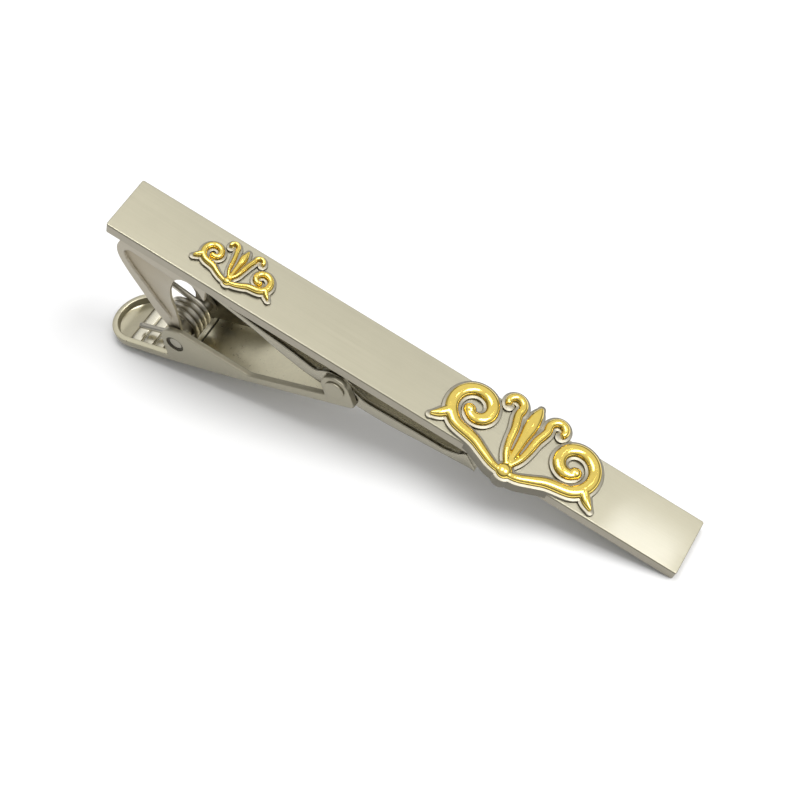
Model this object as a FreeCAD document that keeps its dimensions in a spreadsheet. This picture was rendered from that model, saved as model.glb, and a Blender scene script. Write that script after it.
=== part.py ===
import FreeCAD, Part
import math
import os
import Sketcher
from FreeCAD import Vector, Placement, Rotation

# Tie clip: a flat bar with raised ornament, a sprung thumb lever on a bracket under
# its left end, and a rocking jaw that grips the cloth against the back of the bar.
# Bar frame: X along the bar from its left end, Y across (0 is the middle), Z up from
# the front face. The finished clip lies tilted on its lever tab and the bar's far end.

doc = FreeCAD.newDocument("TieClip")
dims = doc.addObject("Spreadsheet::Sheet", "Dims")
values = {}
row = [0]


def cell(alias, number):
    """Keep one driving dimension in the sheet."""
    row[0] += 1
    where = "B%d" % row[0]
    dims.set("A%d" % row[0], alias)
    dims.set(where, repr(float(number)))
    dims.setAlias(where, alias)
    values[alias] = float(number)
    return alias


for alias, number in (
    # front bar
    ("bar_length", 60.0), ("bar_width", 6.0), ("bar_thick", 1.25), ("bar_corner", 0.4), ("bar_soft", 0.22),
    # ornament beds and gold
    ("bed_drop", 0.9), ("bed_rise", 0.35), ("bed_total", 1.25), ("gold_rise", 0.5), ("bed_margin", 0.28),
    ("large_x", 42.4), ("small_x", 12.2),
    # bracket
    ("ear_sheet", 0.6), ("base_sheet", 0.5), ("ear_lean", 0.62), ("pin_x", 8.84), ("pin_z", -12.88),
    ("ear_tip_r", 1.25), ("recess_depth", 0.38),
    # pins
    ("pin_r", 0.78), ("pin_length", 6.3), ("pin_hole_r", 0.86),
    ("rivet_r", 0.55), ("rivet_hole_r", 0.61), ("rivet_head_r", 1.0), ("rivet_head", 0.22),
    # lever
    ("lever_angle", 30.4), ("lever_width", 6.6), ("lever_inner", 5.4), ("tab_inner", 5.5), ("tab_end_x", -7.25),
    ("tab_r", 3.3), ("tab_inner_r", 2.75), ("tab_depth", 2.25), ("knuckle_x", 18.99), ("knuckle_z", -0.27), ("knuckle_r", 1.5),
    ("ear_round_r", 1.75),
    # jaw
    ("jaw_width", 5.2), ("jaw_inner", 4.2), ("heel_width", 4.2), ("jaw_eye_x", 25.355), ("jaw_eye_z", -3.503), ("jaw_eye_r", 1.1),
    # spring
    ("wire_r", 0.3), ("coil_r", 1.85), ("coil_x", 8.06), ("coil_span", 2.1), ("leg_length", 6.0), ("coil_y", 0.98),
    ("arm_rise", 11.0), ("arm_x", 4.3), ("arm_top", -2.1), ("arm_bend", 0.8),
    # resting pose
    ("rest_tilt", 18.14), ("rest_x", -25.755), ("rest_z", 19.87),
):
    cell(alias, number)


def val(alias):
    return values[alias]


def bind(obj, prop, alias):
    obj.setExpression(prop, "Dims." + alias)


# ---------------------------------------------------------------- sketch helpers
def new_body(label):
    body = doc.addObject("PartDesign::Body", label + "_body")
    body.Label = label
    return body


def plane(body, role):
    for feature in body.Origin.OriginFeatures:
        if feature.Role == role:
            return feature
    raise RuntimeError(role)


def new_sketch(body, name, role="XZ_Plane"):
    sketch = body.newObject("Sketcher::SketchObject", name)
    sketch.AttachmentSupport = (plane(body, role), [""])
    sketch.MapMode = "FlatFace"
    return sketch


def polygon(sketch, name, points):
    """Closed outline drawn from cells of the sheet; its first four corners stay bound to them."""
    first = sketch.GeometryCount
    count = len(points)
    lines, rules, names = [], [], []
    for i in range(count):
        a, b = points[i], points[(i + 1) % count]
        lines.append(Part.LineSegment(Vector(a[0], a[1], 0), Vector(b[0], b[1], 0)))
    sketch.addGeometry(lines, False)
    for i in [count - 1, 0, 1, 2, 3]:
        pair = Sketcher.Constraint("Coincident", first + i % count, 2, first + (i + 1) % count, 1)
        if i < count and not (i == 3 and count == 4):
            rules.append(pair)
    start = sketch.ConstraintCount + len(rules)
    for i, (x, y) in enumerate(points):
        for axis, number in (("X", x), ("Y", y)):
            alias = cell("%s_%s_%s" % (name, "abcdefghijklmnopqrstuvwxyz"[i], "across" if axis == "X" else "up"), number)
            if i < 4:
                names.append(alias)
                rules.append(Sketcher.Constraint("Distance" + axis, -1, 1, first + i, 1, number))
    sketch.addConstraint(rules)
    for i, alias in enumerate(names):
        sketch.setExpression("Constraints[%d]" % (start + i), "Dims." + alias)


def circle(sketch, x, y, radius):
    """Circle placed and sized by cells of the sheet."""
    g = sketch.addGeometry(Part.Circle(Vector(val(x), val(y), 0), Vector(0, 0, 1), val(radius)), False)
    for kind, alias in (("DistanceX", x), ("DistanceY", y)):
        index = sketch.addConstraint(Sketcher.Constraint(kind, -1, 1, g, 3, val(alias)))
        sketch.setExpression("Constraints[%d]" % index, "Dims." + alias)
    index = sketch.addConstraint(Sketcher.Constraint("Radius", g, val(radius)))
    sketch.setExpression("Constraints[%d]" % index, "Dims." + radius)


def symmetric(feature):
    if "SideType" in feature.PropertiesList:
        feature.SideType = "Symmetric"
    else:
        feature.Midplane = True


def pad(body, name, sketch, alias, both=False, reverse=False):
    feature = body.newObject("PartDesign::Pad", name)
    feature.Profile = sketch
    feature.Length = val(alias)
    bind(feature, "Length", alias)
    if both:
        symmetric(feature)
    feature.Reversed = reverse
    return feature


def pocket(body, name, sketch, alias, both=False, reverse=False):
    feature = body.newObject("PartDesign::Pocket", name)
    feature.Profile = sketch
    feature.Length = val(alias)
    bind(feature, "Length", alias)
    if both:
        symmetric(feature)
    feature.Reversed = reverse
    return feature


half = val("bar_width") / 2
cell("through", 40.0)
cell("zero_mid", 0.0)

# ---------------------------------------------------------------- ornament strokes
# Each stroke is a centre line with a width at each point; the scroll work is
# symmetric about the ornament's own middle.


def spiral(cx, cy, r0, r1, start, sweep, count):
    points = []
    for i in range(count):
        k = i / (count - 1.0)
        a = math.radians(start + sweep * k)
        r = r0 + (r1 - r0) * k
        points.append((cx + r * math.cos(a), cy + r * math.sin(a)))
    return points


def mirror(points):
    return [(-x, y) for x, y in points]


def widths(count, full, head, tail):
    out = []
    for i in range(count):
        k = i / (count - 1.0)
        w = full
        if k < 0.25:
            w = head + (full - head) * math.sin(k / 0.25 * math.pi / 2)
        if k > 0.7:
            w = tail + (full - tail) * math.cos((k - 0.7) / 0.3 * math.pi / 2)
        out.append(w)
    return out


def sides(points, wide):
    """Left and right edge of a stroke."""
    left, right = [], []
    n = len(points)
    for i in range(n):
        a, b = points[max(i - 1, 0)], points[min(i + 1, n - 1)]
        dx, dy = b[0] - a[0], b[1] - a[1]
        d = math.hypot(dx, dy)
        nx, ny = -dy / d, dx / d
        x, y = points[i]
        w = wide[i] / 2.0
        left.append((x + nx * w, y + ny * w))
        right.append((x - nx * w, y - ny * w))
    return left, right


def stroke_sketch(body, name, points, wide, at, sketch=None):
    sketch = sketch or new_sketch(body, name, "XY_Plane")
    left, right = sides(points, wide)
    lv = [Vector(x + at, y, 0) for x, y in left]
    rv = [Vector(x + at, y, 0) for x, y in right]
    one = Part.BSplineCurve()
    one.interpolate(lv)
    two = Part.BSplineCurve()
    two.interpolate(rv[::-1])
    sketch.addGeometry(one, False)
    sketch.addGeometry(Part.LineSegment(lv[-1], rv[-1]), False)
    sketch.addGeometry(two, False)
    sketch.addGeometry(Part.LineSegment(rv[0], lv[0]), False)
    return sketch


# large ornament, right half
L_RUN = [(0.3, -3.65), (1.3, -3.45), (2.6, -2.85), (3.8, -2.3)]
L_VOL = spiral(5.0, 0.55, 2.62, 0.7, -92, 410, 24)
L_TEN = [(0.2, -2.75), (0.72, -1.7), (0.98, -0.5), (1.15, 0.8), (1.5, 2.1)] + spiral(2.35, 2.9, 0.95, 0.5, 195, -230, 10)
L_LEAF = [(6.95, -1.0), (7.6, -1.8), (8.3, -2.35)]
L_MID = [(0, -3.2), (0, -1.6), (0, 0.2), (0, 1.9), (0, 3.2), (0, 4.0)]
L_BEAD = (0.0, -3.45, 0.78)
# small ornament, right half
S_RUN = [(0.2, -1.85), (0.75, -1.7), (1.35, -1.42), (1.85, -1.15)]
S_VOL = spiral(2.5, 0.1, 1.15, 0.36, -100, 370, 20)
S_TEN = [(0.12, -1.35), (0.45, -0.75), (0.6, 0.0), (0.74, 0.7)] + spiral(1.42, 1.62, 0.5, 0.28, 195, -215, 9)
S_LEAF = [(3.3, -0.45), (3.65, -0.92), (4.0, -1.22)]
S_MID = [(0, -1.6), (0, -0.7), (0, 0.3), (0, 1.2), (0, 2.0)]
S_BEAD = (0.0, -1.78, 0.42)
LARGE_W = 1.25
SMALL_W = 0.64


def large_strokes():
    out = []
    run = L_RUN + L_VOL[1:]
    out.append(("run", run, widths(len(run), LARGE_W, 0.6, 0.9)))
    out.append(("ten", L_TEN, widths(len(L_TEN), 0.85, 0.5, 0.62)))
    out.append(("leaf", L_LEAF, [1.0, 0.85, 0.3]))
    out.append(("mid", L_MID, [0.45, 0.7, 0.95, 1.35, 1.05, 0.3]))
    return out


def small_strokes():
    out = []
    run = S_RUN + S_VOL[1:]
    out.append(("run", run, widths(len(run), SMALL_W, 0.34, 0.48)))
    out.append(("ten", S_TEN, widths(len(S_TEN), 0.44, 0.28, 0.34)))
    out.append(("leaf", S_LEAF, [0.56, 0.48, 0.18]))
    out.append(("mid", S_MID, [0.28, 0.4, 0.55, 0.72, 0.2]))
    return out


def paired_sketch(body, name, kind, points, wide, at):
    """One stroke and, off the middle, its mirror image."""
    sketch = stroke_sketch(body, name, points, wide, at)
    if kind != "mid":
        stroke_sketch(body, name, mirror(points), wide, at, sketch)
    return sketch


# ---------------------------------------------------------------- bracket
frame = new_body("bracket_blank")
under = -val("bar_thick")
sketch = new_sketch(frame, "ear_outline")
polygon(sketch, "ear", [
    (1.6, under), (10.85, under), (10.85, -3.0), (10.63, -2.85), (10.4, -2.42), (10.03, -2.0), (9.6, -1.7), (8.78, -1.54),
    (8.27, -1.72), (7.85, -2.12), (7.51, -2.74), (7.3, -4.2), (7.28, -5.1), (7.6, -6.8), (8.1, -8.1), (8.7, -10.5),
    (9.3, -11.9), (9.4, -13.9), (7.9, -13.6), (7.5, -11.8), (5.62, -9.85), (3.8, -7.41), (1.9, -4.9), (1.42, -3.81), (1.27, -2.91), (1.38, -1.96)])
pad(frame, "ear_block", sketch, "bar_width", both=True)
sketch = new_sketch(frame, "ear_tip_outline")
circle(sketch, "pin_x", "pin_z", "ear_tip_r")
pad(frame, "ear_tip", sketch, "bar_width", both=True)
doc.recompute()
# ears lean inward towards the pin and are joined by the base under the bar
lean = val("ear_lean")
base_z = under - val("base_sheet")
foot = -15.0
sketch = new_sketch(frame, "ear_section", "YZ_Plane")
s = val("ear_sheet")
polygon(sketch, "inside", [(-half + s, base_z), (half - s, base_z), (half - s - lean, foot), (-half + s + lean, foot)])
polygon(sketch, "outer_near", [(-half - 1, base_z), (-half, base_z), (-half + lean, foot), (-half - 1, foot)])
polygon(sketch, "outer_far", [(half, base_z), (half + 1, base_z), (half + 1, foot), (half - lean, foot)])
before = frame.Shape.Volume
lean_cut = pocket(frame, "ear_gap", sketch, "through", both=True)
doc.recompute()
sketch = new_sketch(frame, "heel_notch_outline")
polygon(sketch, "heel_notch", [(6.9, under + 0.1), (11.5, under + 0.1), (11.5, base_z - 0.1), (6.9, base_z - 0.1)])
cell("heel_notch_width", val("bar_width") - 2 * s)
pocket(frame, "heel_notch", sketch, "heel_notch_width", both=True)
sketch = new_sketch(frame, "bracket_pin_hole")
circle(sketch, "pin_x", "pin_z", "pin_r")
pocket(frame, "bracket_pin_bore", sketch, "through", both=True)
doc.recompute()

# triangular recess in each ear, deepest along the left rim and running out to the right
depth = val("recess_depth")


def ear_face(z):
    return half - lean * (base_z - z) / (base_z - foot) if z < base_z else half


rim = [(2.1, -2.6), (3.75, -5.8), (5.7, -8.0), (7.35, -9.7), (7.15, -3.5)]
rim_x, rim_z = rim[3][0] - rim[0][0], rim[3][1] - rim[0][1]


def inward(x, z):
    """Distance from the left rim into the recess."""
    return ((z - rim[0][1]) * rim_x - (x - rim[0][0]) * rim_z) / math.hypot(rim_x, rim_z)


tools = []
for name, sign in (("near", -1), ("far", 1)):
    inner = [Vector(x, sign * (ear_face(z) - depth * (1 - inward(x, z) / inward(*rim[4]))), z) for x, z in rim]
    outer = [Vector(x, sign * (half + 0.5), z) for x, z in rim]
    faces = [Part.Face(Part.makePolygon(inner + [inner[0]])), Part.Face(Part.makePolygon(outer + [outer[0]]))]
    for i in range(5):
        j = (i + 1) % 5
        for tri in ((inner[i], inner[j], outer[j]), (inner[i], outer[j], outer[i])):
            faces.append(Part.Face(Part.makePolygon(list(tri) + [tri[0]])))
    solid = Part.Solid(Part.Shell(faces))
    if solid.Volume < 0:
        solid.reverse()
    tool = doc.addObject("Part::Feature", "recess_" + name)
    tool.Shape = solid
    tools.append(tool)
cut_near = doc.addObject("Part::Cut", "bracket_near_cut")
cut_near.Base = frame
cut_near.Tool = tools[0]
bracket = doc.addObject("Part::Cut", "bracket_cut")
bracket.Base = cut_near
bracket.Tool = tools[1]
bracket.Label = "bracket"
doc.recompute()

# ---------------------------------------------------------------- pins
main_pin = doc.addObject("Part::Cylinder", "main_pin")
bind(main_pin, "Radius", "pin_r")
bind(main_pin, "Height", "pin_length")
main_pin.Label = "main_pin"

shank = doc.addObject("Part::Cylinder", "rivet_shank")
bind(shank, "Radius", "rivet_r")
bind(shank, "Height", "lever_width")
heads = []
for name in ("near", "far"):
    head = doc.addObject("Part::Cylinder", "rivet_head_" + name)
    bind(head, "Radius", "rivet_head_r")
    bind(head, "Height", "rivet_head")
    heads.append(head)
heads[0].setExpression("Placement.Base.z", "-Dims.rivet_head")
heads[1].setExpression("Placement.Base.z", "Dims.lever_width")
rivet = doc.addObject("Part::MultiFuse", "jaw_rivet")
rivet.Shapes = [shank] + heads
rivet.Label = "jaw_rivet"

# ---------------------------------------------------------------- thumb lever
# Own frame: X along the lever from the pivot towards the jaw, Z up, pivot at 0.
lever = new_body("thumb_lever")
sketch = new_sketch(lever, "lever_side")
polygon(sketch, "lever", [
    (-10.7, -2.465), (-2.0, -3.08), (6.0, -3.2), (19.7, -2.92), (20.25, -2.7), (20.42, -2.2), (20.49, -0.3), (17.49, -0.3), (17.3, -1.62),
    (8.3, -1.95), (1.35, 2.0), (0.2, 1.95), (-1.2, 1.2), (-1.7, -0.2), (-1.85, -2.02), (-10.7, -1.41)])
pad(lever, "lever_block", sketch, "lever_width", both=True)
sketch = new_sketch(lever, "knuckle_outline")
circle(sketch, "knuckle_x", "knuckle_z", "knuckle_r")
pad(lever, "knuckle", sketch, "lever_width", both=True)
cell("ear_round_x", 0.25)
cell("ear_round_z", 0.22)
sketch = new_sketch(lever, "lever_ear_outline")
circle(sketch, "ear_round_x", "ear_round_z", "ear_round_r")
pad(lever, "lever_ear", sketch, "lever_width", both=True)
doc.recompute()
# channel between the walls; the floor stops short of the rivet so the jaw can pass
sketch = new_sketch(lever, "channel_outline")
polygon(sketch, "channel", [(-2.6, -2.52), (6.0, -2.66), (17.55, -2.44), (17.55, -4.0), (22.0, -4.0), (22.0, 4.0), (-2.6, 4.0)])
pocket(lever, "channel", sketch, "lever_inner", both=True)
sketch = new_sketch(lever, "tab_floor_outline")
polygon(sketch, "tab_floor", [(-7.25, -2.32), (-2.0, -2.64), (-2.0, 1.0), (-7.25, 1.0)])
pocket(lever, "tab_floor", sketch, "tab_inner", both=True)
doc.recompute()
# round end of the tab, outside and inside
sketch = new_sketch(lever, "tab_round", "XY_Plane")
tr, tx = val("tab_r"), val("tab_end_x")
sketch.addGeometry(Part.ArcOfCircle(Part.Circle(Vector(tx, 0, 0), Vector(0, 0, 1), tr), math.radians(90), math.radians(270)), False)
for a, b in (((tx, -tr), (tx, -tr - 2)), ((tx, -tr - 2), (tx - tr - 2, -tr - 2)), ((tx - tr - 2, -tr - 2), (tx - tr - 2, tr + 2)),
             ((tx - tr - 2, tr + 2), (tx, tr + 2)), ((tx, tr + 2), (tx, tr))):
    sketch.addGeometry(Part.LineSegment(Vector(a[0], a[1], 0), Vector(b[0], b[1], 0)), False)
pocket(lever, "tab_round_cut", sketch, "through", both=True)
sketch = new_sketch(lever, "tab_well", "XY_Plane")
ti = val("tab_inner_r")
sketch.addGeometry(Part.ArcOfCircle(Part.Circle(Vector(tx, 0, 0), Vector(0, 0, 1), ti), math.radians(90), math.radians(270)), False)
for a, b in (((tx, -ti), (tx + 0.05, -ti)), ((tx + 0.05, -ti), (tx + 0.05, ti)), ((tx + 0.05, ti), (tx, ti))):
    sketch.addGeometry(Part.LineSegment(Vector(a[0], a[1], 0), Vector(b[0], b[1], 0)), False)
before = lever.Shape.Volume
well = pocket(lever, "tab_well_cut", sketch, "tab_depth")
doc.recompute()
if lever.Shape.Volume > before - 1.0:
    well.Reversed = not well.Reversed
    doc.recompute()
# thumb ribs across the tab
for n in range(4):
    x = -6.75 + 1.42 * n
    z = -2.32 - 0.061 * (x + 7.25)
    sketch = new_sketch(lever, "rib_outline%d" % n)
    polygon(sketch, "rib_" + "abcd"[n], [(x, z - 0.15), (x + 0.95, z - 0.2), (x + 0.8, z + 0.26), (x + 0.3, z + 0.3)])
    pad(lever, "rib%d" % n, sketch, "tab_inner", both=True)
sketch = new_sketch(lever, "lever_pin_hole")
circle(sketch, "zero_mid", "zero_mid", "pin_hole_r")
pocket(lever, "lever_pin_bore", sketch, "through", both=True)
sketch = new_sketch(lever, "lever_rivet_hole")
circle(sketch, "knuckle_x", "knuckle_z", "rivet_r")
pocket(lever, "lever_rivet_bore", sketch, "through", both=True)
doc.recompute()

# ---------------------------------------------------------------- jaw
jaw = new_body("jaw")
sketch = new_sketch(jaw, "jaw_side")
polygon(sketch, "jaw_walls", [
    (11.3, -1.72), (13.05, -1.98), (16.3, -2.52), (20.0, -3.14), (22.3, -3.62), (23.3, -3.3), (24.3, -2.7), (26.4, -2.95), (27.6, -3.78),
    (28.5, -4.02), (31.0, -3.95), (36.5, -3.75), (38.2, -2.75), (38.66, -2.38), (38.95, -2.55), (40.05, -4.0), (39.95, -4.42),
    (37.0, -4.82), (34.5, -5.12), (31.0, -5.6), (27.7, -5.72), (24.8, -5.62), (22.2, -5.36), (18.4, -4.46), (13.1, -2.62), (11.3, -2.05)])
pad(jaw, "jaw_block", sketch, "jaw_width", both=True)
sketch = new_sketch(jaw, "jaw_eye_outline")
circle(sketch, "jaw_eye_x", "jaw_eye_z", "jaw_eye_r")
pad(jaw, "jaw_eye", sketch, "jaw_width", both=True)
doc.recompute()
sketch = new_sketch(jaw, "jaw_trough_outline")
polygon(sketch, "jaw_trough", [
    (11.0, -1.55), (13.1, -2.2), (18.4, -4.02), (22.2, -4.9), (24.8, -5.15), (27.7, -5.25), (31.0, -5.13), (34.5, -4.66), (37.0, -4.36),
    (41.0, -3.85), (41.0, -1.5)])
pocket(jaw, "jaw_trough", sketch, "jaw_inner", both=True)
doc.recompute()
# heel: the trough floor runs on between the ears and touches the back of the bar
sketch = new_sketch(jaw, "heel_outline")
polygon(sketch, "heel", [
    (12.4, -1.97), (12.4, -2.4), (10.9, -1.95), (9.9, -1.66), (9.35, -1.62), (9.0, -1.42), (9.15, -1.3), (9.6, -1.28), (10.2, -1.36), (11.3, -1.66)])
pad(jaw, "heel", sketch, "heel_width", both=True)
sketch = new_sketch(jaw, "jaw_rivet_hole")
circle(sketch, "jaw_eye_x", "jaw_eye_z", "rivet_hole_r")
pocket(jaw, "jaw_rivet_bore", sketch, "through", both=True)
doc.recompute()

# ---------------------------------------------------------------- torsion spring
# Coil beside the pin, one arm up to the bracket base, one leg on the thumb tab.
cx, cz, cr, y0, wire = val("coil_x"), val("pin_z"), val("coil_r"), val("coil_y"), val("wire_r")
tilt, rise = math.radians(val("lever_angle")), math.radians(val("arm_rise"))
first, last = math.pi / 2 - rise, -math.pi / 2 + tilt
sweep = 6 * math.pi + first - last
steps, ease = 72, 0.07
slope = [min(1.0, i / (steps * ease), (steps - i) / (steps * ease)) for i in range(steps + 1)]
total = sum((slope[i] + slope[i + 1]) / 2 for i in range(steps))
y, turns = 0.0, []
for i in range(steps + 1):
    a = first - sweep * i / steps
    turns.append(Vector(cx + cr * math.cos(a), y0 - val("coil_span") * y / total, cz + cr * math.sin(a)))
    if i < steps:
        y += (slope[i] + slope[i + 1]) / 2
go = Vector(math.cos(rise), 0, -math.sin(rise))
away = Vector(-math.cos(tilt), 0, -math.sin(tilt))
helix = Part.BSplineCurve()
helix.interpolate(turns)
bend, ax = val("arm_bend"), val("arm_x")
corner = Vector(ax, y0, turns[0].z + (turns[0].x - ax) * math.tan(rise))
turn = math.pi / 2 - rise
cut = bend * math.tan(turn / 2)
arm_top = Vector(ax, y0, val("arm_top"))
arm_low = corner + Vector(0, 0, cut)
arm_in = corner + go * cut
mid = corner + (Vector(0, 0, 1) + go).normalize() * (bend / math.cos(turn / 2) - bend)
spine = Part.Wire([
    Part.makeLine(arm_top, arm_low), Part.Arc(arm_low, mid, arm_in).toShape(), Part.makeLine(arm_in, turns[0]), helix.toShape(),
    Part.makeLine(turns[-1], turns[-1] + away * val("leg_length"))])
profile = Part.Wire([Part.makeCircle(wire, arm_top, Vector(0, 0, -1))])
spring = doc.addObject("Part::Feature", "torsion_spring")
spring.Shape = spine.makePipeShell([profile], True, False)
spring.Label = "torsion_spring"

# ---------------------------------------------------------------- front bar
bar = new_body("front_bar")
sketch = new_sketch(bar, "bar_outline", "XY_Plane")
c = val("bar_corner")
length = val("bar_length")
corners = [(0, -half), (length, -half), (length, half), (0, half)]
lines = []
for i in range(4):
    a, b = Vector(corners[i][0], corners[i][1], 0), Vector(corners[(i + 1) % 4][0], corners[(i + 1) % 4][1], 0)
    d = (b - a).normalize()
    lines.append(sketch.addGeometry(Part.LineSegment(a + d * c, b - d * c), False))
for x, y in corners:
    sx, sy = (1 if x == 0 else -1), (1 if y < 0 else -1)
    sketch.addGeometry(Part.LineSegment(Vector(x, y + sy * c, 0), Vector(x + sx * c, y, 0)), False)
bar_pad = pad(bar, "bar_plate", sketch, "bar_thick", reverse=True)
doc.recompute()
edges = []
for i, edge in enumerate(bar_pad.Shape.Edges):
    if all(abs(v.Z) < 1e-6 for v in edge.Vertexes):
        edges.append("Edge%d" % (i + 1))
soft = bar.newObject("PartDesign::Fillet", "bar_soft_edge")
soft.Base = (bar_pad, edges)
soft.Radius = val("bar_soft")
bind(soft, "Radius", "bar_soft")
doc.recompute()


def bed(body, name, sketch):
    """Raised nickel bed under the gold, reaching below the front face."""
    feature = body.newObject("PartDesign::Pad", name)
    feature.Profile = sketch
    if "SideType" in feature.PropertiesList:
        feature.SideType = "Two sides"
    else:
        feature.Type = "TwoLengths"
    feature.Length = val("bed_rise")
    bind(feature, "Length", "bed_rise")
    feature.Length2 = val("bed_drop")
    bind(feature, "Length2", "bed_drop")
    feature.Refine = False
    return feature


def disc_sketch(body, name, x, y, radius):
    sketch = new_sketch(body, name, "XY_Plane")
    ax, ay, ar = cell(name + "_across", x), cell(name + "_up", y), cell(name + "_r", radius)
    circle(sketch, ax, ay, ar)
    return sketch


def bed_strokes(body, tag, at, strokes, discs, extra):
    n = 0
    for x, y, r in discs:
        n += 1
        bed(body, "%s_disc_bed%d" % (tag, n), disc_sketch(body, "%s_disc%s" % (tag, "abcdefgh"[n]), x + at, y, r))
    for kind, points, wide in strokes:
        n += 1
        if kind == "run":
            points = points[:extra]
            wide = wide[:extra]
        if kind == "ten":
            points = points[:7]
            wide = wide[:7]
        s = paired_sketch(body, "%s_bed_outline%d" % (tag, n), kind, points, [w + 2 * val("bed_margin") for w in wide], at)
        bed(body, "%s_bed%d" % (tag, n), s)


bed_strokes(bar, "large", val("large_x"), large_strokes(),
            [(5.0, 0.55, 3.5), (-5.0, 0.55, 3.5), (2.3, 2.9, 1.6), (-2.3, 2.9, 1.6), (L_BEAD[0], L_BEAD[1], L_BEAD[2] + 0.28)], 6)
bed_strokes(bar, "small", val("small_x"), small_strokes(),
            [(2.5, 0.1, 1.75), (-2.5, 0.1, 1.75), (1.4, 1.6, 0.98), (-1.4, 1.6, 0.98), (S_BEAD[0], S_BEAD[1], S_BEAD[2] + 0.24)], 6)
doc.recompute()

# ---------------------------------------------------------------- gold ornaments


def gold(label, strokes, at, bead):
    body = new_body(label)
    sketches = [disc_sketch(body, label + "_bead", bead[0] + at, bead[1], bead[2])]
    for n, (kind, points, wide) in enumerate(strokes[::-1]):
        sketches.append(paired_sketch(body, "%s_stroke%d" % (label, n), kind, points, wide, at))
    for n, s in enumerate(sketches):
        s.AttachmentOffset = Placement(Vector(0, 0, val("bed_rise")), Rotation())
        s.setExpression("AttachmentOffset.Base.z", "Dims.bed_rise")
        feature = pad(body, "%s_gold%d" % (label, n), s, "gold_rise")
        feature.Refine = False
    doc.recompute()
    return body


large = gold("large_ornament", large_strokes(), val("large_x"), L_BEAD)
small = gold("small_ornament", small_strokes(), val("small_x"), S_BEAD)
doc.recompute()

# ---------------------------------------------------------------- resting pose
rest = Placement(Vector(val("rest_x"), 0, val("rest_z")), Rotation(Vector(0, 1, 0), val("rest_tilt")))
pivot = Vector(val("pin_x"), 0, val("pin_z"))
turned = Placement(pivot, Rotation(Vector(0, 1, 0), -val("lever_angle")))
along = Rotation(Vector(1, 0, 0), -90)
bar.Placement = rest
large.Placement = rest
small.Placement = rest
bracket.Placement = rest
jaw.Placement = rest
spring.Placement = rest
lever.Placement = rest.multiply(turned)
main_pin.Placement = rest.multiply(Placement(Vector(val("pin_x"), -val("pin_length") / 2, val("pin_z")), along))
rivet.Placement = rest.multiply(turned).multiply(Placement(Vector(val("knuckle_x"), -val("lever_width") / 2, val("knuckle_z")), along))
doc.recompute()

# ---------------------------------------------------------------- check and write
for obj in doc.Objects:
    if "Invalid" in obj.State or "Error" in obj.State:
        raise RuntimeError("failed: %s %s" % (obj.Name, obj.State))
os.makedirs("parts", exist_ok=True)
subparts = [bar, large, small, bracket, main_pin, spring, lever, rivet, jaw]
for obj in subparts:
    shape = obj.Shape
    if shape.isNull() or not shape.isValid():
        raise RuntimeError("bad shape: " + obj.Label)
for obj in subparts:
    shape = obj.Shape
    shape.exportStep("parts/%s.step" % obj.Label)
    box = shape.BoundBox
    print("%-16s solids %d vol %.2f  x %.2f..%.2f y %.2f..%.2f z %.2f..%.2f" % (
        obj.Label, len(shape.Solids), shape.Volume, box.XMin, box.XMax, box.YMin, box.YMax, box.ZMin, box.ZMax))
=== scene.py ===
import math
import bmesh
import bpy
from mathutils import Matrix, Vector


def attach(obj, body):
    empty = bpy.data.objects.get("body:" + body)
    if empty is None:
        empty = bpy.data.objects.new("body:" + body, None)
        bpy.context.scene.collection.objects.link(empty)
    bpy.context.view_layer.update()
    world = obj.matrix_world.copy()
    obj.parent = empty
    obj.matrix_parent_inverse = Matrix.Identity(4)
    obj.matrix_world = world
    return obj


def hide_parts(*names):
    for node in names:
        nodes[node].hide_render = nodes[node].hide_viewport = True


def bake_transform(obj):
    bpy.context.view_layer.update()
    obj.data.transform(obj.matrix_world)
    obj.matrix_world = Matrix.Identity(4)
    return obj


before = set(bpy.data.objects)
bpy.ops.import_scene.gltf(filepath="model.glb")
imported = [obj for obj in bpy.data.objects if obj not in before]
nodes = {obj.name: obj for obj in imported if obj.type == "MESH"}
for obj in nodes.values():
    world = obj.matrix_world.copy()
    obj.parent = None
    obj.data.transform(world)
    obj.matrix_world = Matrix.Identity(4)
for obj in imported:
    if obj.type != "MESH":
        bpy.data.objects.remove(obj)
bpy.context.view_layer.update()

# Bar frame (mm): x along the bar from its left end, y across (0 is the middle), z up from
# the front face. The clip lies tilted in the row frame (m).
TILT = math.radians(18.14)
REST = Vector((-25.755, 0.0, 19.87))
TURN = Matrix.Rotation(TILT, 3, "Y")
MM = 0.001


def put(x, y, z):
    return (TURN @ Vector((x, y, z)) + REST) * MM


PIN = (8.84, -12.88)
LEVER = math.radians(30.4)


def lever_point(u, y, v):
    return put(PIN[0] + u * math.cos(LEVER) - v * math.sin(LEVER), y, PIN[1] + u * math.sin(LEVER) + v * math.cos(LEVER))


# ------------------------------------------------------------------ materials
def node(tree, kind, **sockets):
    n = tree.nodes.new(kind)
    for name, value in sockets.items():
        n.inputs[name.replace("_", " ")].default_value = value
    return n


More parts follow.
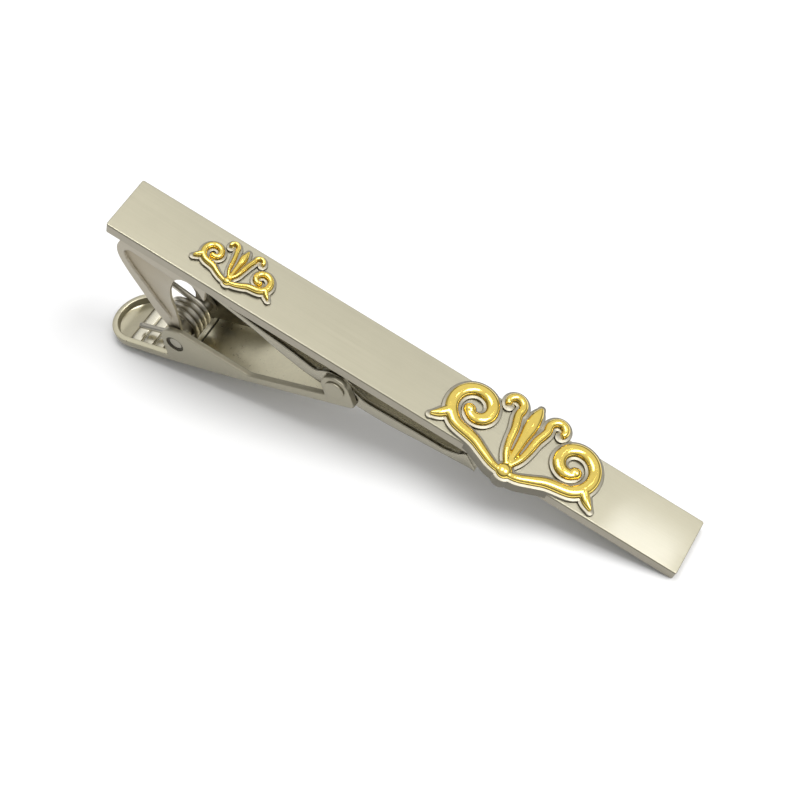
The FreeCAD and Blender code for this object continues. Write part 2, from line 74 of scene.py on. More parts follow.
def metal(name, colour, rough, stretch, along, bump, grime, spread=0.06, side=None, streaky=0.93, coat=0.0, hollow=None):
    """Plated metal: brush lines along one direction, cloudy roughness, and painted shade: a darker base colour on the
    faces turned sideways.
    """
    mat = bpy.data.materials.new(name)
    mat.use_nodes = True
    tree = mat.node_tree
    tree.nodes.clear()
    out = tree.nodes.new("ShaderNodeOutputMaterial")
    shader = tree.nodes.new("ShaderNodeBsdfPrincipled")
    shader.inputs["Metallic"].default_value = 1.0
    shader.inputs["Coat Weight"].default_value = coat
    shader.inputs["Coat Roughness"].default_value = 0.06
    tree.links.new(shader.outputs[0], out.inputs[0])
    coord = tree.nodes.new("ShaderNodeTexCoord")
    mapping = tree.nodes.new("ShaderNodeMapping")
    mapping.vector_type = "TEXTURE"
    mapping.inputs["Rotation"].default_value = (0.0, along, 0.0)
    mapping.inputs["Scale"].default_value = stretch
    tree.links.new(coord.outputs["Object"], mapping.inputs["Vector"])
    lines = node(tree, "ShaderNodeTexNoise", Scale=1.0, Detail=3.0, Roughness=0.6)
    tree.links.new(mapping.outputs[0], lines.inputs["Vector"])
    cloud = node(tree, "ShaderNodeTexNoise", Scale=420.0, Detail=3.0, Roughness=0.55)
    tree.links.new(coord.outputs["Object"], cloud.inputs["Vector"])
    # colour: cloudy warm variation, darker streaks
    mix = tree.nodes.new("ShaderNodeMixRGB")
    mix.blend_type = "MULTIPLY"
    ramp = tree.nodes.new("ShaderNodeValToRGB")
    ramp.color_ramp.elements[0].position = 0.25
    ramp.color_ramp.elements[0].color = [c * (1.0 - grime) for c in colour] + [1.0]
    ramp.color_ramp.elements[1].position = 0.7
    ramp.color_ramp.elements[1].color = list(colour) + [1.0]
    tree.links.new(cloud.outputs["Fac"], ramp.inputs["Fac"])
    streak = tree.nodes.new("ShaderNodeValToRGB")
    streak.color_ramp.elements[0].position = 0.3
    streak.color_ramp.elements[0].color = (streaky, streaky, streaky, 1.0)
    streak.color_ramp.elements[1].position = 0.65
    streak.color_ramp.elements[1].color = (1.0, 1.0, 1.0, 1.0)
    tree.links.new(lines.outputs["Fac"], streak.inputs["Fac"])
    mix.inputs["Fac"].default_value = 1.0
    tree.links.new(ramp.outputs["Color"], mix.inputs["Color1"])
    tree.links.new(streak.outputs["Color"], mix.inputs["Color2"])
    if side is None:
        tree.links.new(mix.outputs["Color"], shader.inputs["Base Color"])
    else:
        # painted shade: faces turned sideways have their base colour multiplied down towards side as they stand
        # upright, standing for the dimmer light they reflect
        facing = tree.nodes.new("ShaderNodeSeparateXYZ")
        tree.links.new(coord.outputs["Normal"], facing.inputs[0])
        share = tree.nodes.new("ShaderNodeMapRange")
        share.inputs["From Min"].default_value = 0.15
        share.inputs["From Max"].default_value = 0.75
        tree.links.new(facing.outputs["Z"], share.inputs["Value"])
        if coat:
            clear = tree.nodes.new("ShaderNodeMapRange")
            clear.inputs["From Min"].default_value = 0.75
            clear.inputs["From Max"].default_value = 0.93
            clear.inputs["To Max"].default_value = coat
            tree.links.new(facing.outputs["Z"], clear.inputs["Value"])
            tree.links.new(clear.outputs["Result"], shader.inputs["Coat Weight"])
        side_shade_mix = tree.nodes.new("ShaderNodeMixRGB")
        side_shade_mix.blend_type = "MULTIPLY"
        side_shade_mix.inputs["Fac"].default_value = 1.0
        tone = tree.nodes.new("ShaderNodeValToRGB")
        tone.color_ramp.elements[0].position = 0.0
        tone.color_ramp.elements[0].color = (side, side, side, 1.0)
        tone.color_ramp.elements[1].position = 1.0
        tone.color_ramp.elements[1].color = (1.0, 1.0, 1.0, 1.0)
        tree.links.new(share.outputs["Result"], tone.inputs["Fac"])
        tree.links.new(mix.outputs["Color"], side_shade_mix.inputs["Color1"])
        tree.links.new(tone.outputs["Color"], side_shade_mix.inputs["Color2"])
        if hollow is None:
            tree.links.new(side_shade_mix.outputs["Color"], shader.inputs["Base Color"])
        else:
            # painted shade: a warmer, darker tone where the mesh says how deep the hollow is, standing for the shade
            # and warm reflection inside the pressed hollow
            hollow_shade_mask = tree.nodes.new("ShaderNodeAttribute")
            hollow_shade_mask.attribute_name = "hollow"
            hollow_shade_tint = tree.nodes.new("ShaderNodeValToRGB")
            hollow_shade_tint.color_ramp.elements[0].position = 0.0
            hollow_shade_tint.color_ramp.elements[0].color = (1.0, 1.0, 1.0, 1.0)
            hollow_shade_tint.color_ramp.elements[1].position = 1.0
            hollow_shade_tint.color_ramp.elements[1].color = list(hollow) + [1.0]
            tree.links.new(hollow_shade_mask.outputs["Fac"], hollow_shade_tint.inputs["Fac"])
            hollow_shade_mix = tree.nodes.new("ShaderNodeMixRGB")
            hollow_shade_mix.blend_type = "MULTIPLY"
            hollow_shade_mix.inputs["Fac"].default_value = 1.0
            tree.links.new(side_shade_mix.outputs["Color"], hollow_shade_mix.inputs["Color1"])
            tree.links.new(hollow_shade_tint.outputs["Color"], hollow_shade_mix.inputs["Color2"])
            tree.links.new(hollow_shade_mix.outputs["Color"], shader.inputs["Base Color"])
    # roughness
    span = tree.nodes.new("ShaderNodeMapRange")
    span.inputs["From Min"].default_value = 0.3
    span.inputs["From Max"].default_value = 0.7
    span.inputs["To Min"].default_value = rough - spread
    span.inputs["To Max"].default_value = rough + spread
    tree.links.new(lines.outputs["Fac"], span.inputs["Value"])
    tree.links.new(span.outputs["Result"], shader.inputs["Roughness"])
    # bump
    b = node(tree, "ShaderNodeBump", Strength=bump, Distance=0.00002)
    tree.links.new(lines.outputs["Fac"], b.inputs["Height"])
    tree.links.new(b.outputs["Normal"], shader.inputs["Normal"])
    if coat:
        scuff = node(tree, "ShaderNodeBump", Strength=0.5, Distance=0.0000016)
        tree.links.new(lines.outputs["Fac"], scuff.inputs["Height"])
        tree.links.new(scuff.outputs["Normal"], shader.inputs["Coat Normal"])
    return mat


BRUSH = (0.012, 0.00009, 0.00009)
# painted shade: each material given side below has a darker base colour on its faces turned sideways
nickel = metal("satin_nickel_bar", (0.455, 0.426, 0.316), 0.31, BRUSH, TILT, 0.05, 0.03, spread=0.02, side=0.66, streaky=0.965, coat=1.0)
# painted shade: a darker copy of the nickel for the beds under the gold, which keeps their edges from lighting up
nickel_bed_shaded = metal("satin_nickel_bed_shaded", (0.31, 0.289, 0.229), 0.40, (0.0005, 0.0005, 0.0005), 0.0, 0.03, 0.05, spread=0.03, side=0.56)
# painted shade: the lever's copy of the nickel is darker than the clip's, standing for the shade it sits in near the
# floor
nickel_lever_shaded = metal("satin_nickel_lever_shaded", (0.48, 0.449, 0.345), 0.42, (0.0004, 0.0004, 0.0004), 0.0, 0.04, 0.05, spread=0.04, side=0.74)
# painted light: a lighter copy of the lever's nickel for the upward floor of the channel and the top of the tab's rim
nickel_deck_lit = metal("satin_nickel_deck_lit", (0.79, 0.738, 0.545), 0.29, (0.0005, 0.0005, 0.0005), 0.0, 0.012, 0.04, spread=0.02, side=0.6)
# painted light: a lighter copy of the lever's nickel for the tab floor
nickel_tab_lit = metal("satin_nickel_tab_lit", (0.56, 0.518, 0.378), 0.30, (0.0005, 0.0005, 0.0005), 0.0, 0.015, 0.04, spread=0.02, side=0.6)
# painted shadow: near-black for the ring in the gap round the pin
painted_gap_shadow = metal("painted_gap_shadow", (0.075, 0.068, 0.05), 0.5, (0.0004, 0.0004, 0.0004), 0.0, 0.03, 0.1, spread=0.04)
# painted light: the lightest copy of the lever's nickel for the tops of the thumb ribs
nickel_rib_lit = metal("nickel_rib_lit", (0.90, 0.855, 0.70), 0.24, (0.0005, 0.0005, 0.0005), 0.0, 0.04, 0.04, spread=0.04, side=0.85)
# painted shade: the clip's colour turns darker and warmer where the ear's pressed hollow is deep
nickel_clip = metal("satin_nickel_clip", (0.53, 0.49, 0.40), 0.48, (0.0004, 0.0004, 0.0004), 0.0, 0.04, 0.05, spread=0.04, side=0.84, hollow=(0.80, 0.75, 0.66))
# painted shade: a darker copy of the nickel for the bar's side band
nickel_side_shaded = metal("satin_nickel_side_shaded", (0.48, 0.444, 0.358), 0.44, (0.0004, 0.0004, 0.0004), 0.0, 0.04, 0.05, spread=0.04, side=0.76)
# painted reflection: a dark copy of the nickel for the thin strip under the bar's top edge, standing for the dark
# reflection there
nickel_edge_shade = metal("satin_nickel_edge_shade", (0.24, 0.22, 0.172), 0.42, (0.0004, 0.0004, 0.0004), 0.0, 0.03, 0.06, spread=0.04, side=0.8)
nickel_jaw = metal("nickel_jaw", (0.48, 0.45, 0.356), 0.27, (0.004, 0.0004, 0.0004), TILT, 0.02, 0.04, spread=0.03, side=0.72)
steel = metal("bright_wire", (0.60, 0.567, 0.48), 0.31, (0.0008, 0.0008, 0.0008), 0.0, 0.004, 0.04, spread=0.02)
pin_steel = metal("pin_steel", (0.46, 0.432, 0.352), 0.36, (0.0004, 0.0004, 0.0004), 0.0, 0.04, 0.08, side=0.82)
gold = metal("polished_gold", (0.98, 0.74, 0.175), 0.085, (0.0007, 0.0007, 0.0007), 0.0, 0.03, 0.10, spread=0.02)


def paint(obj, mat):
    obj.data.materials.clear()
    obj.data.materials.append(mat)


def soften(obj, width, angle=28.0, segments=3):
    """Rounded edges on a sheet-metal node: merge the seams, clear the flat faces, round what is left sharp."""
    weld = obj.modifiers.new("weld", "WELD")
    weld.merge_threshold = 0.000002
    flat = obj.modifiers.new("flat", "DECIMATE")
    flat.decimate_type = "DISSOLVE"
    flat.angle_limit = math.radians(1.5)
    edge = obj.modifiers.new("edge", "BEVEL")
    edge.limit_method = "ANGLE"
    edge.angle_limit = math.radians(angle)
    edge.width = width * MM
    edge.segments = segments
    edge.use_clamp_overlap = False
    edge.harden_normals = True


for name, mat, width in (("main_pin", pin_steel, 0.15), ("jaw_rivet", nickel_lever_shaded, 0.07)):
    paint(nodes[name], mat)
    soften(nodes[name], width)


# ------------------------------------------------------------------ helpers for built pieces
def make(name, bm, mat, smooth=True):
    mesh = bpy.data.meshes.new(name)
    bm.to_mesh(mesh)
    bm.free()
    for p in mesh.polygons:
        p.use_smooth = smooth
    obj = bpy.data.objects.new(name, mesh)
    bpy.context.scene.collection.objects.link(obj)
    mesh.materials.append(mat)
    return obj


def spline(points, per=8):
    """Smooth curve through points given as tuples of any length."""
    out = []
    n = len(points)
    for i in range(n - 1):
        p0, p1, p2, p3 = points[max(i - 1, 0)], points[i], points[i + 1], points[min(i + 2, n - 1)]
        for k in range(per):
            t = k / per
            out.append(tuple(0.5 * (2 * b + (c - a) * t + (2 * a - 5 * b + 4 * c - d) * t * t + (3 * b - a - 3 * c + d) * t ** 3)
                             for a, b, c, d in zip(p0, p1, p2, p3)))
    out.append(tuple(points[-1]))
    return out


def interp(points, x):
    """Value at x on a chain of straight runs given as (x, value) with x rising."""
    if x <= points[0][0]:
        return points[0][1]
    for (x0, y0), (x1, y1) in zip(points[:-1], points[1:]):
        if x <= x1:
            return y0 + (y1 - y0) * (x - x0) / (x1 - x0) if x1 > x0 else y1
    return points[-1][1]


def smooth(a, b, x):
    t = min(1.0, max(0.0, (x - a) / (b - a)))
    return t * t * (3 - 2 * t)


def skin(bm, rows, closed=True):
    n = len(rows[0])
    for a, b in zip(rows[:-1], rows[1:]):
        for k in range(n if closed else n - 1):
            bm.faces.new((a[k], a[(k + 1) % n], b[(k + 1) % n], b[k]))


def cut_round(obj, centre, axis, radius, length, sides=48):
    """Bores a round hole through obj."""
    tool_bm = bmesh.new()
    bmesh.ops.create_cone(tool_bm, cap_ends=True, segments=sides, radius1=radius, radius2=radius, depth=length)
    mesh = bpy.data.meshes.new("bore")
    tool_bm.to_mesh(mesh)
    tool_bm.free()
    tool = bpy.data.objects.new("bore", mesh)
    bpy.context.scene.collection.objects.link(tool)
    tool.matrix_world = Matrix.Translation(centre) @ Vector(axis).to_track_quat("Z", "Y").to_matrix().to_4x4()
    mod = obj.modifiers.new("bore", "BOOLEAN")
    mod.operation = "DIFFERENCE"
    mod.solver = "EXACT"
    mod.object = tool
    bpy.context.view_layer.update()
    done = bpy.data.meshes.new_from_object(obj.evaluated_get(bpy.context.evaluated_depsgraph_get()))
    obj.modifiers.clear()
    old = obj.data
    obj.data = done
    bpy.data.meshes.remove(old)
    bpy.data.objects.remove(tool)
    bpy.data.meshes.remove(mesh)


def shade(obj, degrees):
    for p in obj.data.polygons:
        p.use_smooth = True
    obj.data.set_sharp_from_angle(angle=math.radians(degrees))


# ------------------------------------------------------------------ thumb lever
KNUCKLE = (18.99, -0.27, 1.5)


def wall_top(u):
    if u >= 17.49:
        return KNUCKLE[1] + math.sqrt(max(0.0, KNUCKLE[2] ** 2 - (u - KNUCKLE[0]) ** 2))
    if u > 1.2:
        return interp([(1.2, 2.0), (1.5, 1.93), (8.1, -1.86), (8.6, -1.96), (17.3, -1.62), (17.42, -1.3), (17.49, -0.27)], u)
    if u > -1.42:
        return min(2.0, 0.22 + math.sqrt(max(0.0, 1.78 ** 2 - (u - 0.35) ** 2)))
    return interp([(-10.5, -1.42), (-1.95, -2.0), (-1.78, -1.9), (-1.66, -1.2), (-1.52, -0.2), (-1.42, 0.12)], u)


def wall_low(u):
    return interp([(-10.5, -2.5), (-2.0, -3.08), (6.0, -3.2), (19.5, -2.93), (19.9, -2.88), (20.15, -2.76), (20.32, -2.5), (20.42, -2.1), (20.47, -1.4), (20.49, -0.6)], u)


def spaced(a, b, step):
    n = max(1, int(math.ceil(abs(b - a) / step)))
    return [a + (b - a) * i / n for i in range(n)]


def wall_stations():
    marks = [20.488]
    marks += [KNUCKLE[0] + 1.5 * math.cos(math.radians(a)) for a in range(8, 180, 8)]
    marks += [20.47, 20.44, 20.38, 20.3, 20.2, 20.05]
    marks += [17.49, 17.46, 17.42, 17.36, 17.3] + spaced(17.1, 8.8, 0.8) + [8.7, 8.5, 8.3, 8.1, 7.9] + spaced(7.5, 1.7, 0.5)
    marks += [1.6, 1.5, 1.4, 1.3, 1.2] + [0.35 + 1.78 * math.cos(math.radians(a)) for a in range(70, 178, 6)]
    marks += [-1.42, -1.47, -1.52, -1.59, -1.66, -1.72, -1.78, -1.86, -1.95, -2.1] + spaced(-2.4, -7.25, 0.5)
    return sorted(set(round(m, 4) for m in marks), reverse=True)


def lever_walls():
    bm = bmesh.new()
    half, rb, rt = 3.3, 0.42, 0.13
    path = [(u, -half, 0.0, -1.0) for u in wall_stations() if u > -7.25]
    turn = [(-7.25 - half * math.sin(math.pi * i / 48), -half * math.cos(math.pi * i / 48), -math.sin(math.pi * i / 48), -math.cos(math.pi * i / 48)) for i in range(49)]
    path = path + turn + [(u, -y, nx, -ny) for u, y, nx, ny in path[::-1]]
    rows = []
    for u, y, nx, ny in path:
        top, low = wall_top(u), wall_low(u)
        thick = 0.6
        r0, r1 = rb, rt - 0.03 * (1.0 - smooth(-2.8, -1.7, u))
        if top - low < r0 + r1 + 0.02:
            r0 = max(0.02, (top - low) * 0.5)
            r1 = min(r1, max(0.01, (top - low) * 0.3))
        shape = []
        for k in range(6):
            a = math.pi / 2 * k / 5
            shape.append((r0 - r0 * math.sin(a), low + r0 - r0 * math.cos(a)))
        for k in range(5):
            a = math.pi / 2 * k / 4
            shape.append((r1 - r1 * math.cos(a), top - r1 + r1 * math.sin(a)))
        for k in range(5):
            a = math.pi / 2 * k / 4
            shape.append((thick - r1 + r1 * math.sin(a), top - r1 + r1 * math.cos(a)))
        shape.append((thick, low + min(0.3, (top - low) * 0.4)))
        shape.append((thick, low))
        rows.append([bm.verts.new(lever_point(u - nx * o, y - ny * o, v)) for o, v in shape])
    skin(bm, rows)
    bm.faces.new(rows[0][::-1])
    bm.faces.new(rows[-1])
    bmesh.ops.recalc_face_normals(bm, faces=bm.faces)
    return bm


def lever_floor():
    """Floor of the channel and the tab, with the thumb ribs."""
    bm = bmesh.new()

    def floor_top(u):
        base = interp([(-10.7, -2.3), (-8.3, -2.42), (-7.7, -2.46), (-1.9, -2.78), (-0.45, -2.76), (-0.36, -2.56), (0.08, -2.54), (0.13, -2.8), (0.27, -2.8), (0.32, -2.56), (6.0, -2.68), (17.6, -2.42)], u)
        if u < -8.9:
            base += 0.25 * smooth(-8.9, -10.2, u)
        for c in (-6.95, -5.5, -4.05, -2.6):
            d = abs(u - c)
            base += 0.22 * max(0.0, 1.0 - (d / 0.7) ** 2) ** 0.45
        return base
    wide = 2.9
    marks = [17.55] + spaced(17.3, 0.4, 0.7) + [0.36, 0.32, 0.27, 0.2, 0.13, 0.08] + spaced(0.02, -7.25, 0.05)
    marks += [-7.25 - wide * math.sin(math.radians(a)) for a in range(0, 90, 3)] + [-7.25 - wide * math.sin(math.radians(89))]
    rows = []
    for u in marks:
        w = wide if u > -7.25 else math.sqrt(max(0.0004, wide ** 2 - (u + 7.25) ** 2))
        row = []
        n = 14
        for k in range(n + 1):
            y = -w + 2 * w * k / n
            # the floor turns up softly into the wall
            edge = max(0.0, abs(y) - (w - 0.6)) / 0.6
            row.append(bm.verts.new(lever_point(u, y, floor_top(u) + 0.16 * edge * edge)))
        for k in range(n, -1, -1):
            row.append(bm.verts.new(lever_point(u, -w + 2 * w * k / n, wall_low(u) + 0.02)))
        rows.append(row)
    skin(bm, rows)
    bm.faces.new(rows[0][::-1])
    bm.faces.new(rows[-1])
    bmesh.ops.recalc_face_normals(bm, faces=bm.faces)
    return bm


lever = make("lever_shell", lever_walls(), nickel_lever_shaded)
cut_round(lever, lever_point(0, 0, 0), (0, 1, 0), 0.97 * MM, 9 * MM)
bm = lever_floor()
back_turn = TURN.transposed()
# painted light: upward floor faces take lighter copies of the lever's nickel, the deck in the channel, the tab floor
# beyond it and the lightest on the ribs; faces turned away keep the lever's own copy
for face in bm.faces:
    at = back_turn @ (face.calc_center_median() / MM - REST) - Vector((PIN[0], 0, PIN[1]))
    u = at.x * math.cos(LEVER) + at.z * math.sin(LEVER)
    if face.normal.z < 0.2:
        face.material_index = 0
    elif min(abs(u - c) for c in (-6.95, -5.5, -4.05, -2.6)) < 0.64:
        face.material_index = 2
    elif 0.1 < u < 0.3:
        face.material_index = 0
    else:
        face.material_index = 1 if u > -0.45 else 3
for side_y in (-3.2, 3.2):
    # painted shadow: a dark ring set just inside each wall between the pin and the hole, where the gap is in shade
    rings = [[bm.verts.new(lever_point(r * math.cos(math.tau * k / 48), side_y, r * math.sin(math.tau * k / 48))) for k in range(48)] for r in (0.7, 0.99)]
    deep = [[bm.verts.new(lever_point(r * math.cos(math.tau * k / 48), side_y * 0.97, r * math.sin(math.tau * k / 48))) for k in range(48)] for r in (0.7, 0.99)]
    ring_faces = []
    for k in range(48):
        j = (k + 1) % 48
        for a, b in ((rings[0], rings[1]), (rings[1], deep[1]), (deep[1], deep[0]), (deep[0], rings[0])):
            ring_faces.append(bm.faces.new((a[k], a[j], b[j], b[k])))
    bmesh.ops.recalc_face_normals(bm, faces=ring_faces)
    for face in ring_faces:
        face.material_index = 4
inside = len(bm.faces)
bm.from_mesh(lever.data)
bm.faces.ensure_lookup_table()
bm.normal_update()
for face in bm.faces[inside:]:
    # painted light: the upward faces of the tab's rolled rim take the lighter deck copy
    at = back_turn @ (face.calc_center_median() / MM - REST) - Vector((PIN[0], 0, PIN[1]))
    if at.x * math.cos(LEVER) + at.z * math.sin(LEVER) < -2.0 and face.normal.z > 0.3:
        face.material_index = 1
bm.to_mesh(lever.data)
bm.free()
lever.data.materials.append(nickel_deck_lit)
lever.data.materials.append(nickel_rib_lit)
lever.data.materials.append(nickel_tab_lit)
lever.data.materials.append(painted_gap_shadow)
shade(lever, 38)
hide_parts("thumb_lever")
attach(lever, "lever")

# ------------------------------------------------------------------ bracket
EAR_LEFT = [(-13.95, 8.6), (-13.8, 8.1), (-13.4, 7.75), (-12.9, 7.6), (-12.3, 7.6), (-11.8, 7.5), (-11.43, 7.18), (-10.7, 6.42), (-9.85, 5.66), (-8.59, 4.7),
            (-7.41, 3.77), (-6.16, 2.8), (-4.9, 1.95), (-4.3, 1.63), (-3.81, 1.43), (-3.3, 1.31), (-2.91, 1.27), (-2.4, 1.29), (-1.96, 1.38), (-1.25, 1.6)]
EAR_RIGHT = [(-13.95, 9.0), (-13.8, 9.5), (-13.4, 9.9), (-12.9, 10.05), (-12.3, 9.85), (-11.9, 9.4), (-11.4, 9.0), (-10.6, 8.75), (-9.56, 8.5), (-8.1, 8.07), (-6.73, 7.58),
             (-5.96, 7.37), (-5.06, 7.27), (-4.28, 7.29)]
ARCH = [(7.29, -4.28), (7.33, -3.6), (7.53, -2.74), (7.85, -2.12), (8.27, -1.72), (8.78, -1.54), (9.2, -1.56), (9.6, -1.7), (10.03, -2.0), (10.4, -2.42), (10.63, -2.85), (10.85, -3.0)]
HOLLOW = [(-10.9, 8.0), (-9.9, 7.45), (-9.22, 6.9), (-8.55, 6.24), (-7.97, 5.68), (-6.81, 4.7), (-5.69, 3.7), (-4.71, 2.88), (-3.95, 2.34), (-3.4, 2.1), (-2.94, 2.04), (-2.6, 2.14),
          (-2.3, 2.33), (-2.08, 2.57), (-1.95, 2.9)]


def ear_y(x, z):
    """Outer face of an ear: leans inward to the pin, with the pressed hollow that is deepest along its left rim."""
    return 3.0 - 0.62 * max(0.0, (-1.75 - z)) / 13.25 - 0.26 * hollow_at(x, z)


def hollow_at(x, z):
    """Share of the hollow's depth, 1 at its deepest."""
    left = interp(HOLLOW, z)
    right = interp(EAR_RIGHT, z) if z < -4.28 else 7.29 + (z + 4.28) * 1.3
    depth = smooth(0.0, 0.12, x - left)
    depth *= (1.0 - min(1.0, max(0.0, (x - left) / max(0.5, right - left))))
    depth *= smooth(0.0, 0.3, -1.98 - 0.07 * (x - 2.5) - z)
    depth *= smooth(-10.9, -9.3, z)
    return depth


def bracket_mesh():
    bm = bmesh.new()
    sheet, r = 0.3, 0.07
    # painted shade mask: each vertex keeps how deep the hollow is there, which darkens the clip's colour
    hollow_shade_tint = bm.verts.layers.float.new("hollow")

    def inner_y(x, z):
        return min(3.0 - 0.62 * max(0.0, (-1.75 - z)) / 13.25 - sheet, ear_y(x, z) - 0.14)
    for sign in (-1, 1):
        zs = [-13.95, -13.88, -13.8, -13.6, -13.4, -13.15, -12.9, -12.6, -12.3, -12.05, -11.9, -11.65, -11.4] + spaced(-11.2, -4.28, 0.1)
        upper = [-4.28 + (4.28 - 1.25) * i / 30 for i in range(31)]
        cols = 76
        def point(x, z, deep):
            y = ear_y(x, z) - deep
            vert = bm.verts.new(put(x, sign * y, z))
            vert[hollow_shade_tint] = hollow_at(x, z)
            return vert

        grid_o, grid_i = [], []
        for z in zs + upper:
            xl = interp(EAR_LEFT, z)
            xr = interp(EAR_RIGHT, z) if z < -4.28 else 7.29
            span = xr - xl
            row_o, row_i = [], []
            edge = min(r, span * 0.2)
            for k in range(cols + 1):
                if k < 4:
                    a = math.pi / 2 * k / 4
                    off, deep = edge * (1 - math.cos(a)), edge * (1 - math.sin(a))
                    x = xl + off
                elif k > cols - 4 and z < -4.28:
                    a = math.pi / 2 * (cols - k) / 4
                    off, deep = edge * (1 - math.cos(a)), edge * (1 - math.sin(a))
                    x = xr - off
                else:
                    deep = 0.0
                    right_end = xr - edge if z < -4.28 else xr
                    x = xl + edge + (right_end - xl - edge) * (k - 4) / ((cols - 8) if z < -4.28 else (cols - 4))
                row_o.append(point(x, z, deep))
                row_i.append(bm.verts.new(put(x, sign * inner_y(x, z), z)))
            grid_o.append(row_o)
            grid_i.append(row_i)
        for grid in (grid_o, grid_i):
            skin(bm, grid, closed=False)
        # close left side, bottom and right side below the arch
        m = len(zs)
        for j in range(len(grid_o) - 1):
            bm.faces.new((grid_o[j][0], grid_o[j + 1][0], grid_i[j + 1][0], grid_i[j][0]))
            if j < m:
                bm.faces.new((grid_o[j][cols], grid_i[j][cols], grid_i[j + 1][cols], grid_o[j + 1][cols]))
        for k in range(cols):
            bm.faces.new((grid_o[0][k], grid_i[0][k], grid_i[0][k + 1], grid_o[0][k + 1]))
            bm.faces.new((grid_o[-1][k], grid_o[-1][k + 1], grid_i[-1][k + 1], grid_i[-1][k]))
        # band over the arch
        xs = [7.29 + 0.28 * i / 4 for i in range(1, 5)] + spaced(7.67, 10.7, 0.12) + [10.7, 10.78, 10.83, 10.85]
        last_o = [grid_o[m + i][cols] for i in range(len(upper))]
        last_i = [grid_i[m + i][cols] for i in range(len(upper))]
        for x in xs:
            low = interp(ARCH, x)
            row_o, row_i = [], []
            for i in range(len(upper)):
                f = i / (len(upper) - 1.0)
                z = low + (-1.25 - low) * f
                near = (z - low)
                edge = min(r, (-1.25 - low) * 0.3)
                deep = edge - math.sqrt(max(0.0, edge ** 2 - max(0.0, edge - near) ** 2)) if near < edge else 0.0
                if x > 10.85 - r:
                    e = x - (10.85 - r)
                    deep = max(deep, r - math.sqrt(max(0.0, r * r - e * e)))
                row_o.append(point(x, z, deep))
                row_i.append(bm.verts.new(put(x, sign * inner_y(x, z), z)))
            for i in range(len(upper) - 1):
                bm.faces.new((last_o[i], row_o[i], row_o[i + 1], last_o[i + 1]))
                bm.faces.new((last_i[i], last_i[i + 1], row_i[i + 1], row_i[i]))
            bm.faces.new((last_o[0], last_i[0], row_i[0], row_o[0]))
            bm.faces.new((last_o[-1], row_o[-1], row_i[-1], last_i[-1]))
            last_o, last_i = row_o, row_i
        for i in range(len(upper) - 1):
            bm.faces.new((last_o[i], last_i[i], last_i[i + 1], last_o[i + 1]))
    # base under the bar between the ears
    corners = []
    for z in (-1.25, -1.75):
        for x, y in ((1.95, -2.75), (6.9, -2.75), (6.9, 2.75), (1.95, 2.75)):
            corners.append(bm.verts.new(put(x, y, z)))
    for quad in ((0, 1, 2, 3), (7, 6, 5, 4), (0, 4, 5, 1), (1, 5, 6, 2), (2, 6, 7, 3), (3, 7, 4, 0)):
        bm.faces.new([corners[i] for i in quad])
    bmesh.ops.recalc_face_normals(bm, faces=bm.faces)
    return bm


bracket = make("bracket_shell", bracket_mesh(), nickel_clip)
shade(bracket, 40)
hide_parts("bracket")
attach(bracket, "frame")


# ------------------------------------------------------------------ torsion spring
def wire_path():
    cx, cz, cr, y0, span, leg = 8.06, -12.88, 1.85, 0.98, 2.1, 6.0
    rise, ax, top, bend = math.radians(11.0), 4.3, -2.1, 0.8
    first, last = math.pi / 2 - rise, -math.pi / 2 + LEVER
    sweep = 6 * math.pi + first - last
    steps, ease = 420, 0.07
    slope = [min(1.0, i / (steps * ease), (steps - i) / (steps * ease)) for i in range(steps + 1)]
    total = sum((slope[i] + slope[i + 1]) / 2 for i in range(steps))
    y, turns = 0.0, []
    for i in range(steps + 1):
        a = first - sweep * i / steps
        turns.append(Vector((cx + cr * math.cos(a), y0 - span * y / total, cz + cr * math.sin(a))))
        if i < steps:
            y += (slope[i] + slope[i + 1]) / 2
    go = Vector((math.cos(rise), 0, -math.sin(rise)))
    away = Vector((-math.cos(LEVER), 0, -math.sin(LEVER)))
    corner = Vector((ax, y0, turns[0].z + (turns[0].x - ax) * math.tan(rise)))
    turn = math.pi / 2 - rise
    cut = bend * math.tan(turn / 2)
    hub = corner + (Vector((0, 0, 1)) + go).normalized() * (bend / math.cos(turn / 2))
    path = [Vector((ax, y0, top + (corner.z + cut - top) * i / 20)) for i in range(20)]
    for i in range(12):
        a = turn * i / 12
        path.append(hub + Vector((-math.cos(a), 0, -math.sin(a))) * bend)
    start = corner + go * cut
    path += [start + (turns[0] - start) * (i / 10) for i in range(10)]
    path += turns
    path += [turns[-1] + away * (leg * i / 16) for i in range(1, 17)]
    return path


def tube(bm, path, radius, sides=28):
    """Round wire with slightly rounded cut ends."""
    n = len(path)
    length = [0.0]
    for i in range(1, n):
        length.append(length[-1] + (path[i] - path[i - 1]).length)
    normal = Vector((0, 1, 0))
    rings = []

    def ring(centre, tangent, r):
        side = (normal - tangent * normal.dot(tangent)).normalized()
        other = tangent.cross(side)
        return [bm.verts.new(put(*(centre + (side * math.cos(2 * math.pi * k / sides) + other * math.sin(2 * math.pi * k / sides)) * r))) for k in range(sides)]

    t0 = (path[1] - path[0]).normalized()
    rings.append(ring(path[0], t0, radius * 0.78))
    rings.append(ring(path[0] + t0 * radius * 0.16, t0, radius))
    for i in range(1, n - 1):
        rings.append(ring(path[i], (path[i + 1] - path[i - 1]).normalized(), radius))
    t1 = (path[-1] - path[-2]).normalized()
    rings.append(ring(path[-1] - t1 * radius * 0.16, t1, radius))
    rings.append(ring(path[-1], t1, radius * 0.78))
    for a, b in zip(rings[:-1], rings[1:]):
        for k in range(sides):
            bm.faces.new((a[k], a[(k + 1) % sides], b[(k + 1) % sides], b[k]))
    bm.faces.new(rings[0][::-1])
    bm.faces.new(rings[-1])
    bmesh.ops.recalc_face_normals(bm, faces=bm.faces)


